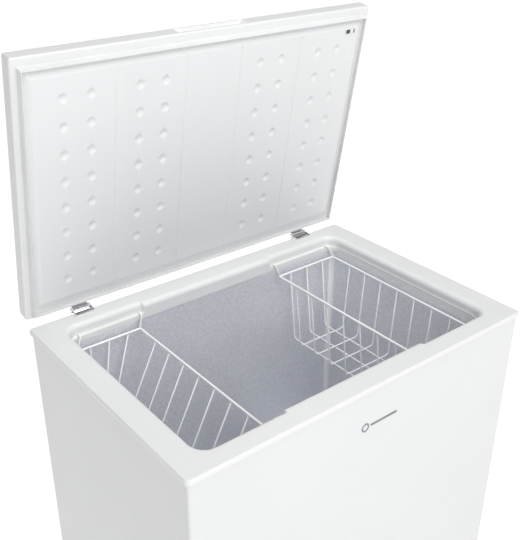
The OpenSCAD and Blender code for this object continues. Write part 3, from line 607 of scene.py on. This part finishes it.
def make_lid_skin():
    """The lid's painted outside, with its lip and rounded edges."""
    low_edge, top_edge, corner = 4, 8, 4.5
    lip_inside = 5
    outline = arc(low_edge, LID_Z0 + low_edge, low_edge, 270, 180, 6)
    outline += arc(top_edge, LID_Z1 - top_edge, top_edge, 180, 90, 9)
    loops = [mouth(0, LID_Z0 + lip_inside), mouth(0, SEAT_Z), mouth(-LIP_EASE, LID_Z0)]
    loops += [rect_loop(LID_X0 + d, LID_X1 - d, LID_Y0 + d, LID_Y1 - d, corner - d * 0.4, z)
              for d, z in outline]
    obj = make_mesh("lid_skin", *loft(loops, True, True), to_lid)
    gap = 0.1
    pocket = [grip_loop(GRIP_X + gap, 0, y) for y in (LID_Y0 - 5, LID_Y0 + GRIP_DEPTH + gap)]
    cut_out(obj, make_mesh("grip_cutter", *loft(pocket, True, True), to_lid))
    obj.data.set_sharp_from_angle(angle=math.radians(35))
    flat_normals(obj)
    finish_piece(obj, "lid", "shell_white", "lid_shell")


def make_grip():
    """Finger grip: a tray let into the front edge, with slanted ends and a scooped floor."""
    section = ((0, 0, LID_Y0), (1.6, 0, LID_Y0 + 0.2), (3, 1, LID_Y0 + 1.5), (12, 2.2, LID_Y0 + 7.5),
               (15, 3.4, LID_Y0 + 9), (20, 5, LID_Y0 + 9.4))
    front = [grip_loop(GRIP_X - inset, squeeze, y, 5) for inset, squeeze, y in section]
    back = [grip_loop(GRIP_X, 0, y, 5) for y in (LID_Y0, LID_Y0 + GRIP_DEPTH)]
    parts = joined([loft(front, False, True), loft(back, False, True)])
    obj = make_mesh("lid_grip", *parts, to_lid)
    flat_normals(obj)
    finish_piece(obj, "lid", "grip_white", "handle_grip")


def panel_lines(low, high, centres, near, step, coarse):
    """Grid lines, close together round given places and wide apart between them."""
    lines = {round(low, 3), round(high, 3)}
    for c in centres:
        count = int(near / step)
        lines |= {round(c + i * step, 3) for i in range(-count, count + 1) if low < c + i * step < high}
    wide = int((high - low) / coarse)
    extra = [low + (high - low) * i / wide for i in range(wide + 1)]
    lines |= {round(v, 3) for v in extra if min(abs(v - c) for c in centres) > near}
    return sorted(lines)


GASKET = 5.8  # width of the seal, from the lip to the panel's edge
DIMPLE_X = (108, 161, 258, 311)  # columns of dimples, the same on both sides
DIMPLE_MID = 262  # from the lid's back edge to the middle of the rows
DIMPLE_PITCH = 53
DIMPLE_ROWS = [LID_Y1 - DIMPLE_MID + (row - 3.5) * DIMPLE_PITCH for row in range(8)]
DIMPLE_R = 9
DIMPLE_DEEP = 3.4
GROOVES = (-209, -62, 62, 209)  # x of the grooves from front to back
GROOVE_HALF = 2.2
GROOVE_DEEP = 1.4
GROOVE_LINES = (-2.4, -1.6, -0.8, 0, 0.8, 1.6, 2.4)  # grid lines across a groove
SLOPE_FOOT = 0.42  # share of the drop that is left at the panel's edge
SLOPE_SPEED = 1.4  # how much sooner than the edge the slope reaches its foot
SLOPE_CREST = 0.1  # share of the slope that its rounded crest takes


def panel_height(x, y):
    """How far the lid's inner panel stands down from the lid's face."""
    out_x = max(abs(x) - FACE_X, 0) / (LID_X1 - LIP_SIDE - GASKET - FACE_X)
    out_y = max(y - FACE_Y1, 0) / (LID_Y1 - LIP_BACK - GASKET - FACE_Y1)
    out_y += max(FACE_Y0 - y, 0) / (FACE_Y0 - LID_Y0 - LIP_FRONT - GASKET)
    t = min(math.hypot(out_x, out_y), 1)
    fall = min(t * SLOPE_SPEED, 1)
    ease = 1 - fall * fall * (1 + SLOPE_CREST) / (fall + SLOPE_CREST)
    height = PANEL_DROP * (SLOPE_FOOT + (1 - SLOPE_FOOT) * ease)
    groove = min(abs(x - g) for g in GROOVES)
    if t < 1 and groove < GROOVE_HALF:
        height -= GROOVE_DEEP * ease * math.cos(groove / GROOVE_HALF * math.pi / 2) ** 2
    if t == 0:
        dx = min(abs(abs(x) - d) for d in DIMPLE_X)
        dy = min(abs(y - d) for d in DIMPLE_ROWS)
        reach = math.hypot(dx, dy) / DIMPLE_R
        if reach < 1:
            height -= DIMPLE_DEEP * (1 - reach * reach) ** 0.9 * (1 - 0.15 * reach)
    return height


def make_panel():
    """The lid's vacuum-formed inner panel with its plateau, grooves and dimples."""
    x_edge = LID_X1 - LIP_SIDE - GASKET
    y0, y1 = LID_Y0 + LIP_FRONT + GASKET, LID_Y1 - LIP_BACK - GASKET
    spacing = (10, 1.2, 14)
    side_slope, back_slope, front_slope = FACE_X + 4, FACE_Y1 + 8.5, FACE_Y0 - 5
    x_places = [s * x for s in (-1, 1) for x in DIMPLE_X + (side_slope,)]
    xs = set(panel_lines(-x_edge, x_edge, x_places, *spacing))
    for g in GROOVES:
        xs |= {g + d for d in GROOVE_LINES}
    xs = sorted(xs)
    ys = panel_lines(y0, y1, DIMPLE_ROWS + [back_slope, front_slope], *spacing)
    verts = [(x, y, SEAT_Z - panel_height(x, y)) for y in ys for x in xs]
    n = len(xs)
    faces = [(j * n + i, j * n + i + 1, (j + 1) * n + i + 1, (j + 1) * n + i)
             for j in range(len(ys) - 1) for i in range(n - 1)]
    obj = make_mesh("lid_inner_panel", verts, faces, to_lid, 60)
    finish_piece(obj, "lid", "panel_white", "lid_panel", "lid_foam")


def make_gasket():
    """Magnetic seal: an outer flank, a round tip just above the collar and an inner flank."""
    tip, tip_r, corner = 0.15, 1.4, 1.2
    section = [(0.5, SEAT_Z), (-1.6, LID_Z0 - 0.05), (-0.6, LID_Z0 - 0.5)]
    section += [(0.4, 11), (0.9, 9), (1.1, 7), (1.5, 5.2), (2.6, 3.2)]
    section += arc(4.3, tip + tip_r, tip_r, 180, 360, 8)
    section += [(5.5, 4.4), (5.3, 7), (GASKET, 9), (GASKET, SEAT_Z)]
    obj = make_mesh("lid_seal", *loft([mouth(d, z, corner) for d, z in section]), to_lid, 50)
    flat_normals(obj)
    finish_piece(obj, "lid", "gasket_white", "lid_gasket")


make_lid_skin()
make_grip()
make_panel()
make_gasket()


# ---------------------------------------------------------------- painted shadow strips at the hinges

HINGE_X = 286  # x of a hinge's middle
SHADOW_STRIP_X = 17.5  # half width of a painted shadow strip
SHADOW_STRIP_BACK = 268
LIP_END = 263.5  # y where the bracket's lip ends
SHADOW_STRIP_GAP = 0.2
SHADOW_STRIP_CORNER = 0.8


def make_hinge_shadow_strips():
    """Painted shadow: black strips between each bracket's lip and the hinge's barrel, standing in for the shade in
    the gap there.
    """
    section = ((0, 0.06), (0, 0.7), (0.3, 1))
    front = LIP_END + SHADOW_STRIP_GAP
    parts = []
    for side in (-1, 1):
        x = side * HINGE_X
        loops = [rect_loop(x - SHADOW_STRIP_X + d, x + SHADOW_STRIP_X - d, front + d, SHADOW_STRIP_BACK - d, SHADOW_STRIP_CORNER, z, 3)
                 for d, z in section]
        parts.append(loft(loops, True, True))
    obj = make_mesh("hinge_shadow_strips", *joined(parts))
    # Painted shadow: the strips take the washers' black nylon so that the gap in front of the barrel reads dark.
    finish_piece(obj, "cabinet", "washer_nylon")


make_hinge_shadow_strips()


# ---------------------------------------------------------------- blank badge and label

def make_badge():
    """Blank ring and thin strip on the front, with softly rounded edges."""
    lo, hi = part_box("front_badge")
    x0, x1 = lo.x / MM, hi.x / MM
    z = (lo.z + hi.z) / 2 / MM - TOP / MM
    face = FRONT_Y - (hi.y - lo.y) / MM
    half = (hi.z - lo.z) / 2 / MM
    centre = x0 + half
    root, shoulder = FRONT_Y - 0.02, face + 0.25
    ring = [(half, root), (half, shoulder), (half - 0.25, face), (half - 2.6, face),
            (half - 2.9, shoulder), (half - 2.9, root)]
    turns = [2 * math.pi * k / 40 for k in range(40)]
    loops = [[(centre + r * math.cos(a), y, z + r * math.sin(a)) for a in turns] for r, y in ring]
    strip_x, strip_half, strip_r = x0 + 2 * half + 4, 2.2, 2
    bars = []
    for inset, y in ((0, root), (0, shoulder), (0.25, face)):
        outline = rect_loop(strip_x + inset, x1 - inset, z - strip_half + inset, z + strip_half - inset,
                            strip_r - inset, y, 5)
        bars.append([(px, d, pz) for px, pz, d in outline])
    obj = make_mesh("blank_badge", *joined([loft(loops, wrap=True), loft(bars, True, True)]))
    finish_piece(obj, "cabinet", "badge_grey", "front_badge")


LABEL_MARGIN = 1.4
SQUARE_SHARE = 0.46  # how far across the film the square reaches
BAR_SHARE = 0.12  # width of the bar, of the film's
PRINT_DEPTH = 0.12


def make_label():
    """Blank sticker: a pale film with a dark square and a thin dark bar."""
    (x0, y0, z0), (x1, y1, z1) = shut_box("lid_label")
    film_z = z0 + PRINT_DEPTH
    section = ((0, z1), (0, film_z + 0.08), (0.1, film_z))
    film = [rect_loop(x0 + d, x1 - d, y0 + d, y1 - d, 1 - d, z, 4) for d, z in section]
    film = make_mesh("label_film", *loft(film, True, True), to_lid)
    finish_piece(film, "lid", "panel_white", "lid_label")
    wide = x1 - x0
    square = (x0 + LABEL_MARGIN, x0 + wide * SQUARE_SHARE)
    bar = (x1 - LABEL_MARGIN - wide * BAR_SHARE, x1 - LABEL_MARGIN)
    parts = []
    for left, right in (square, bar):
        loops = [rect_loop(left, right, y0 + LABEL_MARGIN, y1 - LABEL_MARGIN, 0.5, z, 3)
                 for z in (film_z, z0)]
        parts.append(loft(loops, True, True))
    finish_piece(make_mesh("label_print", *joined(parts), to_lid), "lid", "label_grey")


make_badge()
make_label()


# ---------------------------------------------------------------- baskets

RIM_WIRE = 2.5  # radii of the wires
SIDE_WIRE = 1.65
HOOK_WIRE = 2
RIM_CORNER = 4
RIM_Z = -47
FLOOR_Z = -212
BASKET_Y = 209  # half lengths at the rim and at the floor
FLOOR_Y = 188
CROSS_PITCH = 50
WIRE_BEND = 9
WIRE_END = RIM_WIRE * 0.6  # how far from the rim wire's centre the others end
HOOK_LEAN = 8  # how far the inner and the outer hooks lean to the middle
HOOK_TUCK = 12
HOOK_BEND = 3
HOOK_OUT = 4  # how far a hook leans to the front or back
HOOK_INSET = 0.5
HOOK_CLEAR = 0.1  # gap between a hook and its ledge
HOOK_SHORT = 2  # from a hook's last point to the wall


def cross_wire(y, rim, floor):
    """One wire down one side, across the floor and up the other side."""
    top = RIM_Z - WIRE_END
    ends = ((rim[0], top), (floor[0], FLOOR_Z), (floor[1], FLOOR_Z), (rim[1], top))
    return tube(rounded_path([Vector((x, y, z)) for x, z in ends], WIRE_BEND), SIDE_WIRE)


def long_wire(x_top, x_low):
    """One wire from front to back, under the cross wires."""
    top = RIM_Z - WIRE_END
    low = FLOOR_Z - 2 * SIDE_WIRE
    ends = ((x_top, -BASKET_Y, top), (x_low, -FLOOR_Y, low), (x_low, FLOOR_Y, low), (x_top, BASKET_Y, top))
    return tube(rounded_path([Vector(p) for p in ends], WIRE_BEND), SIDE_WIRE)


def basket_hook(x, lean, side):
    """Wire standing up from the rim and turned out over the ledge."""
    start = RIM_Z + WIRE_END
    rest = -LEDGE + HOOK_WIRE + HOOK_CLEAR
    reach = OPENING_Y + LEDGE_IN - HOOK_SHORT
    points = ((x, BASKET_Y, start), (x + lean, BASKET_Y + HOOK_OUT, rest), (x + lean, reach, rest))
    path = rounded_path([Vector((px, side * py, pz)) for px, py, pz in points], HOOK_BEND)
    return tube(path, HOOK_WIRE)


def make_basket(name, body, rim, floor, ends_top, ends_low, inner_side, node):
    """A coated wire basket that hangs by its hooks."""
    parts = [cross_wire(i * CROSS_PITCH, rim, floor) for i in range(-3, 4)]
    parts += [long_wire(a, b) for a, b in zip(ends_top, ends_low)]
    outline = rect_loop(rim[0], rim[1], -BASKET_Y, BASKET_Y, RIM_CORNER, RIM_Z, 8)
    parts.append(tube([Vector(p) for p in outline], RIM_WIRE, closed=True, sides=14))
    inner, outer = (rim[0], rim[1]) if inner_side > 0 else (rim[1], rim[0])
    inset = inner_side * HOOK_INSET
    for side in (-1, 1):
        parts.append(basket_hook(inner + inset, -inner_side * HOOK_LEAN, side))
        parts.append(basket_hook(outer - inset, -inner_side * HOOK_TUCK, side))
    obj = make_mesh(name, *joined(parts))
    finish_piece(obj, body, "wire_white", node)


make_basket("wire_basket_left", "left_basket", rim=(-334, -193), floor=(-326, -272),
            ends_top=(-306, -264, -221), ends_low=(-315, -299, -283), inner_side=-1, node="basket_left")
make_basket("wire_basket_right", "right_basket", rim=(173, 338), floor=(193, 327),
            ends_top=(207, 256, 305), ends_low=(207, 256, 305), inner_side=1, node="basket_right")


# ---------------------------------------------------------------- camera, floor and light

EYE = (-887.3, -1048.4, 822.0)
YAW = math.radians(38.646)
PITCH = math.radians(27.411)
ROLL = math.radians(0.329)
LENS = 54.49


def make_camera():
    """The camera of the main view."""
    data = bpy.data.cameras.new("camera")
    data.lens = LENS
    data.sensor_width = 36
    camera = bpy.data.objects.new("camera", data)
    ahead = Vector((math.sin(YAW) * math.cos(PITCH), math.cos(YAW) * math.cos(PITCH), -math.sin(PITCH)))
    right = ahead.cross(Vector((0, 0, 1))).normalized()
    up = right.cross(ahead)
    right_rolled = right * math.cos(ROLL) + up * math.sin(ROLL)
    up_rolled = up * math.cos(ROLL) - right * math.sin(ROLL)
    turn = Matrix((right_rolled, up_rolled, -ahead)).transposed().to_4x4()
    camera.matrix_world = Matrix.Translation(to_frame(EYE)) @ turn
    bpy.context.scene.collection.objects.link(camera)
    bpy.context.scene.camera = camera


FLOOR_TONE = (0.3, 0.3, 0.3)


def make_floor():
    """A plain white floor that fills the background of the main view."""
    reach = 14
    corners = [(-reach, -reach, 0), (reach, -reach, 0), (reach, reach, 0), (-reach, reach, 0)]
    mesh = bpy.data.meshes.new("floor")
    mesh.from_pydata(corners, [], [(0, 1, 2, 3)])
    floor = bpy.data.objects.new("floor", mesh)
    mat, tree, shader = new_material("floor_white", FLOOR_TONE, 0.9)
    varied_colour(tree, shader, 0.6, *shades(FLOOR_TONE, 0.01))
    shader.inputs["Emission Color"].default_value = (1, 1, 1, 1)
    shader.inputs["Emission Strength"].default_value = 0.95
    mesh.materials.append(mat)
    bpy.context.scene.collection.objects.link(floor)


def area_light(name, where, target, size, power):
    """A large soft lamp aimed at a point, metres."""
    data = bpy.data.lights.new(name, "AREA")
    data.shape = "SQUARE"
    data.size = size
    data.energy = power
    lamp = bpy.data.objects.new(name, data)
    lamp.location = where
    lamp.rotation_mode = "QUATERNION"
    lamp.rotation_quaternion = (Vector(target) - Vector(where)).to_track_quat("-Z", "Y")
    bpy.context.scene.collection.objects.link(lamp)


def make_light():
    """Even white surroundings with a soft key from the front, a little left, and one above."""
    world = bpy.data.worlds.new("studio")
    world.use_nodes = True
    world.node_tree.nodes["Background"].inputs["Color"].default_value = (1, 1, 1, 1)
    world.node_tree.nodes["Background"].inputs["Strength"].default_value = 0.27
    bpy.context.scene.world = world
    middle = (0, 0, TOP)
    area_light("key", (-1.2, -3.8, 3.0), middle, size=2.6, power=81)
    area_light("above", (0.2, -0.95, 3.3), middle, size=2.2, power=46)


make_camera()
make_floor()
make_light()
bpy.context.scene.view_settings.view_transform = "Standard"
